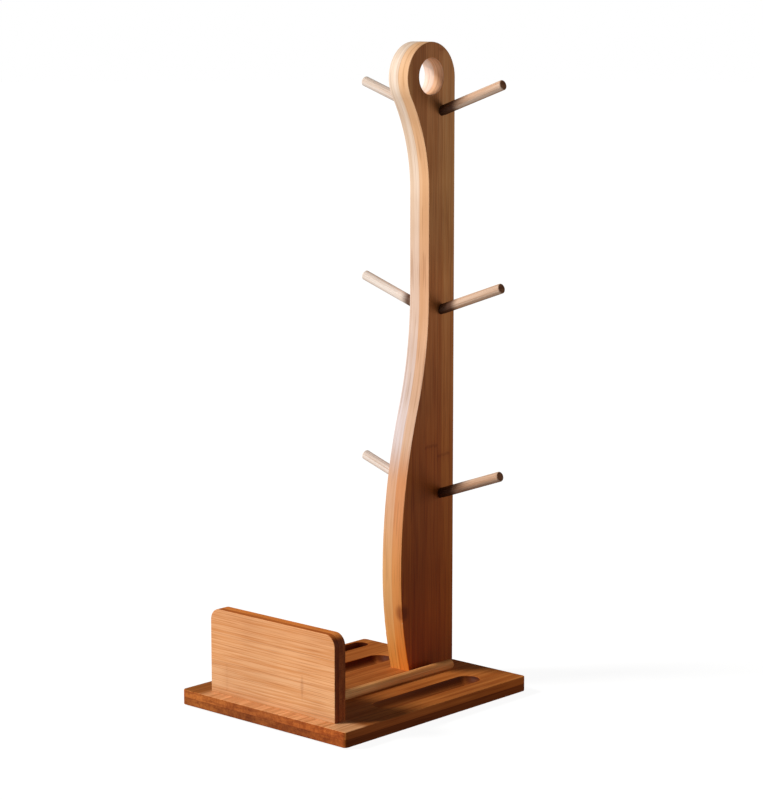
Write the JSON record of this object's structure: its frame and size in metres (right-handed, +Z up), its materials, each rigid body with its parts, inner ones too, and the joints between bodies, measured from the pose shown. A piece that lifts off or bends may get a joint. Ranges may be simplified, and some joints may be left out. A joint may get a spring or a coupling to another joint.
{
  "type": "mug tree",
  "caption": "Wooden mug tree: a curved flat post with upturned dowel pegs and a round eye stands on a flat board, with a front panel and grooves for saucers.",
  "frame": {"origin": "middle of the underside, on the surface that the stand rests on", "axes": "+X across the board along the pegs, +Y from the front panel to the post's straight back, +Z up"},
  "size_m": [0.1304, 0.1568, 0.3824],
  "materials": {
    "board_wood": "satin oiled bamboo",
    "panel_wood": "satin oiled bamboo",
    "post_wood": "satin oiled bamboo",
    "dowel_wood": "satin",
    "rail_wood": "satin",
    "screw_steel": "zinc plated",
    "pad_rubber": "matt"
  },
  "bodies": {
    "root": {"base_board": "board_wood", "front_panel": "panel_wood", "upright_post": "post_wood", "saucer_rail": "rail_wood", "nonslip_pads": "pad_rubber", "post_screws": "screw_steel", "panel_screws": "screw_steel", "peg_left_low": "dowel_wood", "peg_left_mid": "dowel_wood", "peg_left_top": "dowel_wood", "peg_right_low": "dowel_wood", "peg_right_mid": "dowel_wood", "peg_right_top": "dowel_wood"}
  },
  "joints": []
}
